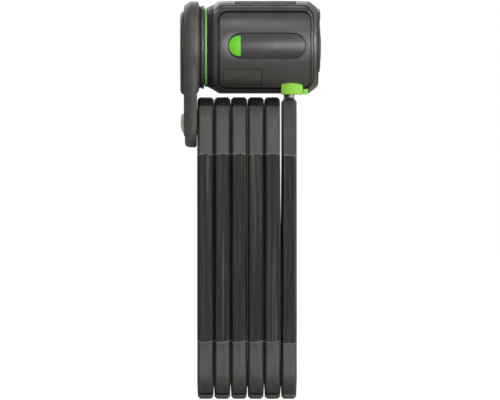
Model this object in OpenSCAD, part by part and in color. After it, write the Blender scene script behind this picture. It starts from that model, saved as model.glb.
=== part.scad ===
// Folding bike lock: a lock body, a swivel arm and six linked bars, folded up.
// X runs across the stack of bars, Y from the front (-Y) to the rear, and Z up along the bars.
// The origin is where the swivel axis (X) crosses the axis of the bolt socket (Z).

/* [Bars] */
// Distance between the two hinges of a bar
link_length = 125.8; // [110:0.1:140]
// Width of a bar over its end covers
bar_width = 25; // [24.6:0.1:25.2]
// Distance from one bar's middle to the next
bar_pitch = 8.35; // [8.3:0.05:8.5]
// Thickness of the steel core of a bar
core_thickness = 5.5; // [5.3:0.1:5.6]
// Gap between the covers of neighbouring bars
cover_gap = 0.1; // [0.1:0.05:0.3]
// Length of the hard cover at each end of a bar
end_cover_length = 28.7; // [26:0.1:32]
// How far the free bar stands swung out to the rear, in degrees
rest_swing = 10.5; // [10.5:0.5:14]

/* [Lock body] */
// Outer radius of the lock body
body_radius = 23.2; // [23.1:0.05:23.4]
// Left edge of the casing
casing_left = -38.05; // [-38.1:0.05:-38]
// Right edge of the casing
casing_right = 13.9; // [13.8:0.05:14]
// Outer radius of the steel housing inside the casing
core_radius = 20.6; // [20.5:0.05:20.7]
// Lowest point of the socket mouthpiece, below the swivel axis
mouth_depth = 23.6; // [23.5:0.05:23.7]

/* [Swivel arm] */
// Distance from the swivel axis to the first hinge of the chain
arm_length = 37.5; // [37.4:0.1:38.5]
// Left face of the arm
arm_left = -52.6; // [-53:0.1:-52.4]
// Right face of the arm below its disc
arm_right = -46.1; // [-46.15:0.05:-46.05]
// Radius of the arm's disc
disc_radius = 23; // [22.6:0.1:23.2]

/* [Mechanism] */
// Radius of the locking bolt
bolt_radius = 2.7; // [2.6:0.05:2.75]
// Radius of the socket that takes the bolt
socket_radius = 3.2; // [3.15:0.05:3.25]
// Radius of the rivet shanks
rivet_radius = 4; // [3.5:0.1:4.2]
// Radial clearance of every turning fit
running_fit = 0.05; // [0.03:0.01:0.08]
// Distance of the cam pin from the key axis
cam_throw = 4; // [3.8:0.1:4]

/* [Hidden] */
$fn = 72;
BARS = [1:6];
PAIRS = [1:5];

// Chain
top_hinge = -arm_length;
bottom_hinge = top_hinge - link_length;
half_bar = bar_width / 2;
half_core = core_thickness / 2;
core_half_width = half_bar - 1.5;
half_cover = (bar_pitch - cover_gap) / 2;
free_half_cover = 3.85;           // the free bar's covers are a little thinner
sleeve_step = 0.08;               // the sleeves lie this much lower than the covers
edge_chamfer = [1.05, 1.3];       // across and along the width of a bar
straight_length = end_cover_length - half_bar;
head_radius = 6.4;
head_thickness = 0.85;
window_radius = 6.8;
free_bar_top = bottom_hinge + 139.2;
bolt_tip = -13.5;

// Lock body
shoulder_left = -34.8;
shoulder_right = 9.3;
casing_end_radius = 19.9;
wall_gap = 0.05;
main_bore = 13.2;
spindle_radius = 8;
plug_radius = 6.5;
liner_radius = 3.7;
panel_box = [-34.4, 10.45, -20.3, 17];     // left, right, bottom, top
panel_groove = 0.75;
panel_base = 21.55;
panel_face = 22.95;
badge_centre = [-11.2, 0.35];
badge_size = [39, 13.2];
mouth_left = -4;
mouth_right = 6.7;
mouth_swing = [1.2, 14];                   // middle and radius of the mouthpiece's round ends
tab_right = 9.45;
cover_pivot_z = 15.5;

// Latch: the cam pin turns from 45 degrees before the lowest point to 45 degrees after it
cam_start = -45;
latch_offset = cam_throw * sin(cam_start);
latch_z = [-16.9, -15.4];
latch_clearance = 0.2;

BLACK = "#3b3a38";
GREY = "#55534f";
SLEEVE = "#2e302d";
GREEN = "#6fd435";
STEEL = "#b9b6ae";
DARK_STEEL = "#4a4a4c";
BRASS = "#b8963f";

// ---- helpers ----

function bar_x(k) = (k - 6) * bar_pitch;
function is_odd(k) = k % 2 == 1;
// A core turns on the rivet of the bar before it, and holds the rivet to the bar after it.
function top_bore(k) = is_odd(k) ? rivet_radius + running_fit : rivet_radius;
function bottom_bore(k) = is_odd(k) ? rivet_radius : rivet_radius + running_fit;
function cover_half(k) = k == 6 ? free_half_cover : half_cover;

// Extrudes a flat shape along +X: its first axis points down and its second to the rear.
module slab_x(x0, x1) {
    translate([x0, 0, 0]) rotate([0, 90, 0]) linear_extrude(x1 - x0) children();
}

module rod_x(x0, x1, r) {
    slab_x(x0, x1) circle(r);
}

module ring_x(x0, x1, outer, inner) {
    slab_x(x0, x1) difference() {
        circle(outer);
        circle(inner);
    }
}

// Turns a list of [x, radius] points about the X axis.
module turn_x(points) {
    rotate([0, 90, 0]) rotate_extrude() polygon([for (p = points) [p[1], p[0]]]);
}

module rod_z(z0, z1, r) {
    translate([0, 0, z0]) cylinder(h = z1 - z0, r = r);
}

module block(low, high) {
    translate(low) cube(high - low);
}

// Cuts straight back from the front, following a flat shape drawn in X and Z.
module from_front(depth = 30) {
    rotate([90, 0, 0]) linear_extrude(depth) children();
}

module rounded_rectangle(box, r) {
    for (x = [box[0] + r, box[1] - r], z = [box[2] + r, box[3] - r]) translate([x, z]) circle(r);
    translate([box[0] + r, box[2]]) square([box[1] - box[0] - 2 * r, box[3] - box[2]]);
    translate([box[0], box[2] + r]) square([box[1] - box[0], box[3] - box[2] - 2 * r]);
}

module stadium(centre, size) {
    reach = (size[0] - size[1]) / 2;
    translate(centre) {
        for (s = [-1, 1]) translate([s * reach, 0]) circle(size[1] / 2);
        square([2 * reach, size[1]], center = true);
    }
}

// A big and a small circle joined by their outer tangents; the small one lies at +distance.
module teardrop(big, small, distance) {
    lean = asin((big - small) / distance);
    circle(big);
    translate([distance, 0]) circle(small);
    polygon([
        [big * sin(lean), big * cos(lean)],
        [distance + small * sin(lean), small * cos(lean)],
        [distance + small * sin(lean), -small * cos(lean)],
        [big * sin(lean), -big * cos(lean)]]);
}

module at_hinge(z) {
    translate([0, 0, z]) children();
}

// Moves what is drawn for the closed lock to where the free bar rests.
module swung_out() {
    at_hinge(bottom_hinge) rotate([-rest_swing, 0, 0]) at_hinge(-bottom_hinge) children();
}

// ---- lock body ----

module core_shape(grow = 0) {
    turn_x([
        [casing_left, 0], [casing_left, 19 + grow], [casing_left + 2.6, core_radius + grow],
        [shoulder_right, core_radius + grow], [12.4 + grow, 18.5 + grow], [12.4 + grow, 0]]);
}

module lock_core() {
    color(STEEL) difference() {
        core_shape();
        rod_x(casing_left - 1, -27, spindle_radius);
        rod_x(-28, 13, main_bore);
        // channel of the latch plate, and the way up for its tab
        block([-13.6, -9.9, latch_z[0] - latch_clearance], [5.4, 11.1, latch_z[1] + latch_clearance]);
        block([-13.6, -7.5, -16], [-10, 7.5, -8]);
        rod_z(-21, -12, socket_radius);
        rod_z(-21, latch_z[0] - latch_clearance, liner_radius);
        translate([3, 0, 0]) rod_z(12, 21, 1.5);
        for (x = [-32, 6.6], z = [-9, 9]) {
            translate([x, 14, z]) rotate([-90, 0, 0]) cylinder(h = 8, r = 1.25);
            translate([x, 19.35, z]) rotate([-90, 0, 0]) cylinder(h = 3, r = 2.7);
        }
    }
}

module casing_outside() {
    turn_x([
        [casing_left, 0], [casing_left, 21.4], [shoulder_left - 0.7, 22.9], [shoulder_left, body_radius],
        [shoulder_right, body_radius], [shoulder_right + 0.6, 23], [casing_right, casing_end_radius],
        [casing_right, 0]]);
}

module casing_shell() {
    difference() {
        casing_outside();
        core_shape(wall_gap);
        rod_x(12, 15, 18.5 + wall_gap);
        socket_pocket();
    }
}

// Room in the casing for the mouthpiece and for the travel of the shutter's tab.
module socket_pocket() {
    intersection() {
        block([mouth_left - wall_gap, -15, -25], [mouth_right + wall_gap, 15, -12]);
        translate([mouth_swing[0], 0, 0]) rod_z(-26, -11, mouth_swing[1] + wall_gap);
    }
    block([mouth_right, -14, -25], [tab_right + 0.3, 2.6, -core_radius - wall_gap]);
}

module casing_front() {
    color(BLACK) difference() {
        casing_shell();
        block([-60, 0, -30], [30, 30, 30]);
        intersection() {
            difference() {
                rod_x(-37, 13, 30);
                rod_x(-38, 14, panel_base);
            }
            from_front() rounded_rectangle(
                [panel_box[0] - panel_groove, panel_box[1] + panel_groove,
                 panel_box[2] - panel_groove, panel_box[3] + panel_groove], 4.6);
        }
    }
}

module casing_rear() {
    color(BLACK) difference() {
        casing_shell();
        block([-60, -30, -30], [30, 0, 30]);
        // flat that the lock rests on
        block([-29, 21.9, -9], [3, 30, 9]);
        for (x = [-32, 6.6], z = [-9, 9]) {
            translate([x, 18, z]) rotate([-90, 0, 0]) cylinder(h = 6, r = 1.25);
            translate([x, 19.4, z]) rotate([-90, 0, 0]) cylinder(h = 6, r = 2.7);
        }
    }
}

module front_panel() {
    recess = [-33.6, -13.6, -18.9, -10.9];
    color(GREY) difference() {
        intersection() {
            ring_x(-40, 20, panel_face, panel_base);
            from_front() rounded_rectangle(panel_box, 3.8);
        }
        from_front() stadium(badge_centre, badge_size);
        intersection() {
            ring_x(-40, 20, 30, panel_face - 0.5);
            from_front() rounded_rectangle(recess, 0.8);
        }
        socket_pocket();
    }
}

module badge_plate() {
    color(BLACK) intersection() {
        ring_x(-40, 20, 22.35, panel_base);
        from_front() stadium(badge_centre, badge_size - [0.4, 0.4]);
    }
}

// A plain half moon that follows the left end of the badge plate.
module badge_inlay() {
    color(GREEN) intersection() {
        ring_x(-40, 20, 22.7, 22.35);
        from_front() translate([-25.1, badge_centre[1]]) difference() {
            circle(5);
            translate([0.9, -6]) square(12);
        }
    }
}

module left_end_ring() {
    color(BLACK) difference() {
        turn_x([[-40.95, 0], [-40.95, 19.8], [casing_left, 21.4], [casing_left, 0]]);
        rod_x(-42, -37, spindle_radius);
    }
}

module right_end_cap() {
    color(BLACK) difference() {
        turn_x([
            [12.45, 0], [12.45, 18.5], [casing_right, 18.5], [casing_right, 19.7], [14.3, 19.2],
            [14.65, 17.6], [14.65, 0]]);
        rod_x(12, 15, plug_radius + running_fit);
        at_hinge(cover_pivot_z) rod_x(12, 15, 1.5);
    }
}

module socket_mouthpiece() {
    color(GREEN) difference() {
        intersection() {
            block([mouth_left, -15, -mouth_depth], [mouth_right, 15, -13]);
            translate([mouth_swing[0], 0, 0]) rod_z(-26, -11, mouth_swing[1]);
        }
        rod_x(-20, 20, core_radius + wall_gap);
        rod_z(-25, -12, socket_radius);
        rod_z(-21.6, -12, liner_radius);
        // slot that the shutter slides in
        block([-3.5, -11.3, -22.7], [mouth_right + 1, 11.3, -21.7]);
    }
}

module socket_liner() {
    color(DARK_STEEL) difference() {
        rod_z(-21.6, latch_z[0] - latch_clearance, liner_radius);
        rod_z(-22, -16, socket_radius);
    }
}

module cylinder_sleeve() {
    color(BRASS) difference() {
        ring_x(-8.95, 12.4, main_bore - 0.02, plug_radius + running_fit);
        translate([3, 0, 0]) rod_z(8.5, 15, 1.5);
    }
}

module cylinder_retaining_pin() {
    color(STEEL) translate([3, 0, 0]) rod_z(8.5, 20.4, 1.5);
}

module swivel_spindle() {
    color(STEEL) {
        rod_x(-50.9, -49.45, 11);
        rod_x(-49.45, -24, spindle_radius);
    }
}

module spindle_nut() {
    color(STEEL) slab_x(-28, -24.5) difference() {
        circle(12.6, $fn = 6);
        circle(spindle_radius);
    }
}

module accent_ring() {
    color(GREEN) ring_x(-42.05, -40.95, 19.9, spindle_radius);
}

module neck_ring() {
    color(BLACK) difference() {
        turn_x([
            [-44.1, 0], [-44.1, 19.7], [-43.7, 20.4], [-42.6, 20.4], [-42.6, 19.2], [-42.05, 19.2],
            [-42.05, 0]]);
        rod_x(-45, -42, spindle_radius);
    }
}

module wave_washer() {
    color(STEEL) ring_x(-45, -44.1, 14, spindle_radius);
}

module casing_screws() {
    color(DARK_STEEL) for (x = [-32, 6.6], z = [-9, 9]) {
        translate([x, 0, z]) rotate([-90, 0, 0]) difference() {
            union() {
                translate([0, 0, 14.2]) cylinder(h = 5.4, r = 1.25);
                translate([0, 0, 19.4]) cylinder(h = 1.5, r = 2.6);
            }
            translate([0, 0, 20.1]) cylinder(h = 2, r = 1.2, $fn = 6);
        }
    }
}

module cover_pivot_pin() {
    color(STEEL) at_hinge(cover_pivot_z) {
        rod_x(12.6, 15.4, 1.5);
        rod_x(15.4, 15.9, 2.4);
    }
}

// ---- key cylinder and latch ----

module keyway(x0, x1) {
    block([x0, -0.9, -3.4], [x1, 0.9, 3.4]);
}

module key_plug() {
    color(BRASS) difference() {
        rod_x(-9, 13.3, plug_radius);
        rod_x(-7.6, 12.1, 5.25);
        keyway(11, 14);
    }
}

module detainer_discs() {
    color(STEEL) for (i = [0:8]) {
        x = -7.3 + 2.1 * i;
        difference() {
            rod_x(x, x + 1.4, 5.2);
            keyway(x - 1, x + 3);
        }
    }
}

module drive_cam() {
    color(STEEL) {
        rod_x(-10.4, -9, 7.6);
        rotate([cam_start, 0, 0]) at_hinge(-cam_throw) rod_x(-13.1, -10.3, 1.4);
    }
}

// A plate with a hole that lets the bolt's head through and a narrow slot that grips its neck.
module latch_plate() {
    throat = -latch_offset;
    tab_x = [-12.6, -10.8];
    color(STEEL) translate([0, latch_offset, 0]) difference() {
        union() {
            block([tab_x[0], -6.8, latch_z[0]], [4.6, 8, latch_z[1]]);
            block([tab_x[0], -4.2, latch_z[0]], [tab_x[1], 4.2, -1.2]);
        }
        translate([0, throat, 0]) rod_z(-18, -14, socket_radius + 0.2);
        translate([0, -throat, 0]) rod_z(-18, -14, 2);
        block([-2, -throat, -18], [2, throat, -14]);
        block([tab_x[0] - 1, -1.6, -5.8], [tab_x[1] + 1, 1.6, 0]);
    }
}

module keyhole_cover() {
    color(BLACK) difference() {
        union() {
            turn_x([[14.7, 0], [14.7, 12.5], [15.1, 12.5], [15.5, 9.5], [15.95, 3], [15.95, 0]]);
            slab_x(14.7, 15.3) rotate(180) teardrop(12.4, 3.8, cover_pivot_z);
        }
        at_hinge(cover_pivot_z) rod_x(14, 16, 1.5 + running_fit);
    }
}

module socket_shutter() {
    color(GREEN) difference() {
        union() {
            block([-3.45, -10.5, -22.6], [mouth_right - 0.1, 4, -21.8]);
            block([mouth_right - 0.2, -10.3, -22.6], [mouth_right + 0.1, -5.5, -21.8]);
            block([mouth_right + 0.05, -10.3, -mouth_depth + 0.1], [tab_right, -5.5, -20.8]);
        }
        rod_z(-24, -20, socket_radius + 0.2);
    }
}

// ---- swivel arm ----

module arm_tip_half() {
    block([-60, -30, -60], [-40, 30, top_hinge - 6.8]);
}

module arm_plate() {
    color(DARK_STEEL) difference() {
        union() {
            slab_x(-51.1, arm_right - 0.05) teardrop(disc_radius - 1.6, half_bar - 1.4, arm_length);
            ring_x(arm_right - 0.1, -45.05, 19, spindle_radius + running_fit);
            intersection() {
                at_hinge(top_hinge) rod_x(-52.1, arm_right - 0.05, half_bar + 0.1);
                arm_tip_half();
            }
        }
        rod_x(-55, -44, spindle_radius + running_fit);
        rod_x(-55, -49.4, 11.1);
        at_hinge(top_hinge) rod_x(-55, -44, rivet_radius);
    }
}

module arm_cover() {
    color(BLACK) difference() {
        union() {
            slab_x(arm_left, arm_right) teardrop(disc_radius, half_bar + 0.15, arm_length);
            turn_x([[-47, 0], [-47, disc_radius], [-45.5, disc_radius], [-45.05, 21.6], [-45.05, 0]]);
        }
        slab_x(-51.1, arm_right + 0.1) teardrop(disc_radius - 1.6, half_bar - 1.4, arm_length);
        rod_x(arm_right - 0.1, -44, 19);
        arm_tip_half();
        at_hinge(top_hinge) rod_x(-55, -50, rivet_radius);
    }
}

module arm_cap() {
    color(GREY) slab_x(-54.4, arm_left) teardrop(18, 6, 17.6);
}

module arm_rivet() {
    x = bar_x(1);
    color(STEEL) at_hinge(top_hinge) {
        turn_x([[arm_left, 0], [arm_left, 5.6], [-53.2, 5.2], [-53.9, 3.8], [-54.2, 2], [-54.2, 0]]);
        rod_x(arm_left, x + half_core + 0.1, rivet_radius);
        rod_x(x + half_core + running_fit, x + half_core + head_thickness, head_radius);
    }
}

module arm_washer() {
    color(STEEL) at_hinge(top_hinge)
        ring_x(arm_right - 0.05, bar_x(1) - half_core - 0.1, head_radius, rivet_radius);
}

// ---- bars ----

module core_blank(k) {
    x = bar_x(k);
    translate([x - half_core, 0, 0]) {
        at_hinge(bottom_hinge) rod_x(0, core_thickness, core_half_width);
        if (k < 6) {
            at_hinge(top_hinge) rod_x(0, core_thickness, core_half_width);
            block([0, -core_half_width, bottom_hinge], [core_thickness, core_half_width, top_hinge]);
        } else {
            block([0, -core_half_width, bottom_hinge],
                  [core_thickness, core_half_width, free_bar_top - 10]);
            block([0, -6, free_bar_top - 11], [core_thickness, 6, free_bar_top - 1.5]);
        }
    }
}

module bar_core(k) {
    x = bar_x(k);
    difference() {
        core_blank(k);
        at_hinge(bottom_hinge) rod_x(x - 5, x + 5, bottom_bore(k));
        if (k < 6) at_hinge(top_hinge) rod_x(x - 5, x + 5, top_bore(k));
        else translate([x, 0, 0]) rod_z(free_bar_top - 12, free_bar_top, 1.8);
    }
}

// Cross-section of a cover or a sleeve, with its four long edges chamfered.
module chamfered_section(half_x, half_y) {
    c = edge_chamfer;
    polygon([
        [-half_x + c[0], -half_y], [half_x - c[0], -half_y], [half_x, -half_y + c[1]],
        [half_x, half_y - c[1]], [half_x - c[0], half_y], [-half_x + c[0], half_y],
        [-half_x, half_y - c[1]], [-half_x, -half_y + c[1]]]);
}

module bar_sleeve(k) {
    half_x = cover_half(k) - sleeve_step;
    low = bottom_hinge + straight_length;
    high = top_hinge - straight_length;
    difference() {
        translate([bar_x(k), 0, low]) linear_extrude(high - low)
            chamfered_section(half_x, half_bar - 0.2);
        core_blank(k);
    }
}

// A cover with a round end about its hinge, tapering towards that end; up is 1 or -1.
module hinged_cover(k, z, up) {
    h = cover_half(k);
    c = edge_chamfer;
    taper = 0.45;
    reach = half_bar + 0.1;
    difference() {
        translate([bar_x(k), 0, z]) intersection() {
            union() {
                turn_x([[-h, 0], [-h, half_bar - c[1]], [c[0] - h, half_bar], [h - c[0], half_bar],
                        [h, half_bar - c[1]], [h, 0]]);
                mirror([0, 0, up > 0 ? 1 : 0]) linear_extrude(straight_length)
                    chamfered_section(h, half_bar);
            }
            mirror([0, 0, up > 0 ? 0 : 1]) translate([0, 20, 0]) from_front(40)
                polygon([[-h, -20], [h, -20], [h, 4], [h - taper, reach], [taper - h, reach], [-h, 4]]);
        }
        core_blank(k);
        at_hinge(z) rod_x(bar_x(k) - 8, bar_x(k) + 8, window_radius);
    }
}

// The free bar ends in a tapered shoulder round the locking bolt.
module bolt_cover() {
    h = free_half_cover;
    z0 = top_hinge - straight_length;
    z1 = free_bar_top;
    difference() {
        intersection() {
            translate([0, 0, z0]) linear_extrude(z1 - z0) chamfered_section(h, half_bar);
            translate([-10, 0, 0]) rotate([90, 0, 90]) linear_extrude(20)
                polygon([[-half_bar, z0], [-half_bar, z1 - 9], [-7, z1], [7, z1],
                         [half_bar, z1 - 9], [half_bar, z0]]);
            translate([0, 20, 0]) from_front(40)
                polygon([[-h, z0], [-h, z1 - 1.7], [-h + 1.3, z1], [h - 0.5, z1], [h, z1 - 0.5], [h, z0]]);
        }
        core_blank(6);
        rod_z(z1 - 2, z1 + 1, 1.8);
    }
}

module bar_end_covers(k) {
    hinged_cover(k, bottom_hinge, -1);
    if (k < 6) hinged_cover(k, top_hinge, 1);
    else bolt_cover();
}

// Joins bar k to the next one, at the bottom for odd k and at the top for even k.
module pair_hinge(k) {
    at_hinge(is_odd(k) ? bottom_hinge : top_hinge) children();
}

module bar_rivet(k) {
    near = bar_x(k) - half_core;
    far = bar_x(k + 1) + half_core;
    color(STEEL) pair_hinge(k) {
        rod_x(near - head_thickness, near, head_radius);
        rod_x(near - 0.1, far + 0.1, rivet_radius);
        rod_x(far + running_fit, far + head_thickness, head_radius);
    }
}

module bar_washer(k) {
    color(STEEL) pair_hinge(k)
        ring_x(bar_x(k) + half_core, bar_x(k + 1) - half_core - 0.1, head_radius, rivet_radius);
}

// The bolt's head, its neck that the latch grips, its shank, and the tang held in the bar.
module locking_bolt() {
    neck = [latch_z[0] - 0.45, latch_z[1] + 0.45];
    color(STEEL) rotate_extrude() polygon([
        [0, free_bar_top - 11.5], [1.8, free_bar_top - 11.5], [1.8, free_bar_top],
        [bolt_radius, free_bar_top], [bolt_radius, neck[0]], [1.75, neck[0]], [1.75, neck[1]],
        [bolt_radius, neck[1]], [bolt_radius, bolt_tip - 0.7], [bolt_radius - 0.7, bolt_tip],
        [0, bolt_tip]]);
}

lock_core();
casing_front();
casing_rear();
front_panel();
badge_plate();
badge_inlay();
left_end_ring();
right_end_cap();
socket_mouthpiece();
socket_liner();
cylinder_sleeve();
cylinder_retaining_pin();
swivel_spindle();
spindle_nut();
accent_ring();
neck_ring();
wave_washer();
casing_screws();
cover_pivot_pin();
key_plug();
detainer_discs();
drive_cam();
latch_plate();
keyhole_cover();
socket_shutter();
arm_plate();
arm_cover();
arm_cap();
arm_rivet();
arm_washer();
swung_out() locking_bolt();

for (k = BARS) {
    swing = k == 6 ? rest_swing : 0;
    at_hinge(bottom_hinge) rotate([-swing, 0, 0]) at_hinge(-bottom_hinge) {
        color(DARK_STEEL) bar_core(k);
        color(SLEEVE) bar_sleeve(k);
        color(GREY) bar_end_covers(k);
    }
}
for (k = PAIRS) {
    bar_rivet(k);
    bar_washer(k);
}
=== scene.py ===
# %% [markdown]
# # A folding bike lock
# The lock is a round body with a swivel arm on its left end and six flat bars that hang from the
# arm, folded up like a carpenter's rule. The last bar ends in a bolt that goes into the green
# socket under the body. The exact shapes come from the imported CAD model, which is loaded first
# and never moved. Blender's work is what CAD leaves out: soft edges, moulded grain, the streaked
# rubber of the sleeves, and the studio that shows them.

# %% Load the fixed frame
import math

import bpy
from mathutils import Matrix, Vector, noise


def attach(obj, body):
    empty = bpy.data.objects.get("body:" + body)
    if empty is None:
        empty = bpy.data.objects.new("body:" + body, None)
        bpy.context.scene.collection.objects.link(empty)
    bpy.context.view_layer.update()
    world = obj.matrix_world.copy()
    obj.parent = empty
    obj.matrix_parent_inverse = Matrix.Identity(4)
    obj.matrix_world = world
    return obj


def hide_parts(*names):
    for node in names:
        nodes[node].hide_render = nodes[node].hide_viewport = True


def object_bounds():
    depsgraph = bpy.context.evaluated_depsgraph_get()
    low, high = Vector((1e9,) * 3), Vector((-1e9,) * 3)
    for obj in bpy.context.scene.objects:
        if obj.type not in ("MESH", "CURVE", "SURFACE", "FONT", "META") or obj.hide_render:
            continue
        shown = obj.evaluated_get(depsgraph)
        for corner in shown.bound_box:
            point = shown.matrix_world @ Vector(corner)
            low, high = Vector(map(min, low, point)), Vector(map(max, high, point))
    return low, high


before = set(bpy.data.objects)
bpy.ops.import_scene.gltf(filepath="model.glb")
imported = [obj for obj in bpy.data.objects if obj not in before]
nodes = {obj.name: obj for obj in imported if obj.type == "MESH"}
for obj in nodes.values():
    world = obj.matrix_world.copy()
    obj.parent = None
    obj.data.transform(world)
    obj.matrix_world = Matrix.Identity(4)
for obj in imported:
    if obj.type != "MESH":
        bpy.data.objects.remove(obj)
cad_low, cad_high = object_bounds()
MM = 0.001
print("box in mm", [round(v / MM, 1) for v in (*cad_low, *cad_high)])

# %% [markdown]
# The camera looks straight at the front with a long lens from far away, so that the bars stay
# parallel. A short lens close by would show the top and bottom of the long bars at an angle.

# %% Camera
view_centre = Vector((-19.55, 0.0, -76.4)) * MM
camera_distance = 5.0
camera_data = bpy.data.cameras.new("camera")
camera_data.type = "PERSP"
camera_data.sensor_width = 36.0
camera_data.lens = 36.0 * camera_distance / 0.250
camera_data.clip_start = 0.05
camera_data.clip_end = 100.0
camera = bpy.data.objects.new("camera", camera_data)
bpy.context.scene.collection.objects.link(camera)
camera.location = view_centre + Vector((0.0, -camera_distance, 0.0))
camera.rotation_euler = (math.radians(90), 0.0, 0.0)
bpy.context.scene.camera = camera
print("lens", round(camera_data.lens, 1), "mm at", camera_distance, "m")

# %% [markdown]
# Every piece is made in the same few moves: a primitive is added, shaped in edit mode, cut by
# another shape or given soft edges, and left with its object at the origin. These moves are
# small helpers, so that the cells below read like a list of steps at the bench.

# %% Choosing and placing a piece
def deselect():
    if bpy.context.mode != "OBJECT":
        bpy.ops.object.mode_set(mode="OBJECT")
    bpy.ops.object.select_all(action="DESELECT")


def pick(piece):
    deselect()
    piece.select_set(True)
    bpy.context.view_layer.objects.active = piece


def named(name):
    piece = bpy.context.object
    piece.name = name
    piece.data.name = name
    return piece


def settle(piece):
    """Puts the piece's place, turn and size into its mesh, and its object at the origin."""
    pick(piece)
    bpy.ops.object.transform_apply(location=True, rotation=True, scale=True)
    return piece


def edit(piece):
    pick(piece)
    bpy.ops.object.mode_set(mode="EDIT")
    bpy.ops.mesh.select_mode(type="VERT")
    bpy.ops.mesh.select_all(action="DESELECT")


def done():
    bpy.ops.object.mode_set(mode="OBJECT")


deselect()
print("nothing is selected any more:", len(bpy.context.selected_objects) == 0)


# %% [markdown]
# Round pieces are turned, as on a lathe. A ring of points is extruded along its axis and scaled
# after each step, so an outline of a few places and radii is all a piece needs. Rounding the
# corners in the outline costs less than bevelling the finished mesh, and it never goes wrong.

# %% Turning a round piece
def turned(name, outline, axis="X", centre=(0, 0, 0), sides=128, hollow=False):
    """Extrudes a ring along an axis through [place, radius] points, as on a lathe."""
    along = Vector((1, 0, 0)) if axis == "X" else Vector((0, 0, 1)) if axis == "Z" else Vector((0, 1, 0))
    turn = {"X": (0, math.radians(90), 0), "Y": (math.radians(90), 0, 0), "Z": (0, 0, 0)}[axis]
    middle = Vector(centre) * MM
    place, radius = outline[0]
    deselect()
    bpy.ops.mesh.primitive_circle_add(
        vertices=sides, radius=radius * MM, location=middle + along * place * MM, rotation=turn)
    piece = settle(named(name))
    bpy.ops.object.mode_set(mode="EDIT")
    bpy.ops.mesh.select_mode(type="VERT")
    bpy.ops.mesh.select_all(action="SELECT")
    for (a, ra), (b, rb) in zip(outline, outline[1:]):
        bpy.ops.mesh.extrude_region_move(TRANSFORM_OT_translate={"value": along * (b - a) * MM})
        grow = rb / ra
        across = [1.0 if along[i] else grow for i in range(3)]
        bpy.ops.transform.resize(value=across, center_override=middle + along * b * MM)
    bpy.ops.mesh.select_all(action="DESELECT")
    bpy.ops.mesh.select_non_manifold()
    if hollow:
        bpy.ops.mesh.bridge_edge_loops()
    else:
        bpy.ops.mesh.fill_holes(sides=0)
    bpy.ops.mesh.select_all(action="SELECT")
    bpy.ops.mesh.normals_make_consistent(inside=False)
    done()
    return piece


def softened(outline, radius, keep=(), closed=False, steps=4):
    """Rounds the corners of an outline; the points numbered in keep stay sharp."""
    count = len(outline)
    points = []
    for i, corner in enumerate(outline):
        here = Vector(corner)
        if i in keep or (not closed and i in (0, count - 1)):
            points.append(tuple(here))
            continue
        back = Vector(outline[i - 1]) - here
        ahead = Vector(outline[(i + 1) % count]) - here
        reach = min(radius, back.length * 0.48, ahead.length * 0.48)
        start = here + back.normalized() * reach
        end = here + ahead.normalized() * reach
        for s in range(steps + 1):
            t = s / steps
            points.append(tuple((1 - t) ** 2 * start + 2 * t * (1 - t) * here + t ** 2 * end))
    return points


print("a square outline softened has", len(softened([(0, 1), (1, 1), (1, 2), (0, 2)], 0.2, closed=True)), "points")


# %% [markdown]
# Panels and pockets are drawn from the front as rounded rectangles and extruded to the rear. A
# plain cube, scaled, does for cuts that are straight on all sides.

# %% Plates seen from the front, and blocks
def front_plate(name, left, right, low, high, corner, near, far, steps=8):
    """A rounded rectangle drawn from the front and extruded from near to far along Y."""
    deselect()
    bpy.ops.mesh.primitive_plane_add(
        size=1, rotation=(math.radians(90), 0, 0),
        location=Vector(((left + right) / 2, near, (low + high) / 2)) * MM)
    piece = named(name)
    piece.scale = ((right - left) * MM, (high - low) * MM, 1)
    settle(piece)
    bpy.ops.object.mode_set(mode="EDIT")
    bpy.ops.mesh.select_mode(type="VERT")
    bpy.ops.mesh.select_all(action="SELECT")
    if corner > 0:
        bpy.ops.mesh.bevel(offset=corner * MM, segments=steps, affect="VERTICES", clamp_overlap=True)
    bpy.ops.mesh.remove_doubles(threshold=0.00002)
    bpy.ops.mesh.select_all(action="SELECT")
    bpy.ops.mesh.extrude_region_move(TRANSFORM_OT_translate={"value": (0, (far - near) * MM, 0)})
    bpy.ops.mesh.select_all(action="SELECT")
    bpy.ops.mesh.normals_make_consistent(inside=False)
    done()
    return piece


def block(name, low, high):
    deselect()
    bpy.ops.mesh.primitive_cube_add(
        size=1, location=Vector([(a + b) / 2 for a, b in zip(low, high)]) * MM)
    piece = named(name)
    piece.scale = [(b - a) * MM for a, b in zip(low, high)]
    return settle(piece)


# %% [markdown]
# Booleans cut one shape with another, which keeps openings exact. They leave sharp edges, and no
# moulded part has those, so a bevel follows that rounds only the edges sharper than an angle.

# %% Cutting, joining and softening
def combine(piece, tool, operation="DIFFERENCE"):
    """Cuts, joins or crosses a piece with another shape, which is then thrown away."""
    pick(piece)
    step = piece.modifiers.new("combine", "BOOLEAN")
    step.operation = operation
    step.solver = "EXACT"
    step.object = tool
    bpy.ops.object.modifier_apply(modifier=step.name)
    bpy.data.objects.remove(tool)
    edit(piece)
    bpy.ops.mesh.select_all(action="SELECT")
    bpy.ops.mesh.remove_doubles(threshold=0.000004)
    done()
    return piece


def hulled(name, *parts):
    """Stretches one skin round several round parts, like a belt round pulleys."""
    pick(parts[0])
    for part in parts[1:]:
        part.select_set(True)
    bpy.ops.object.join()
    piece = named(name)
    edit(piece)
    bpy.ops.mesh.select_all(action="SELECT")
    bpy.ops.mesh.convex_hull()
    bpy.ops.mesh.select_all(action="SELECT")
    bpy.ops.mesh.dissolve_limited(angle_limit=math.radians(0.4))
    bpy.ops.mesh.select_all(action="SELECT")
    bpy.ops.mesh.normals_make_consistent(inside=False)
    done()
    return piece


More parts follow.
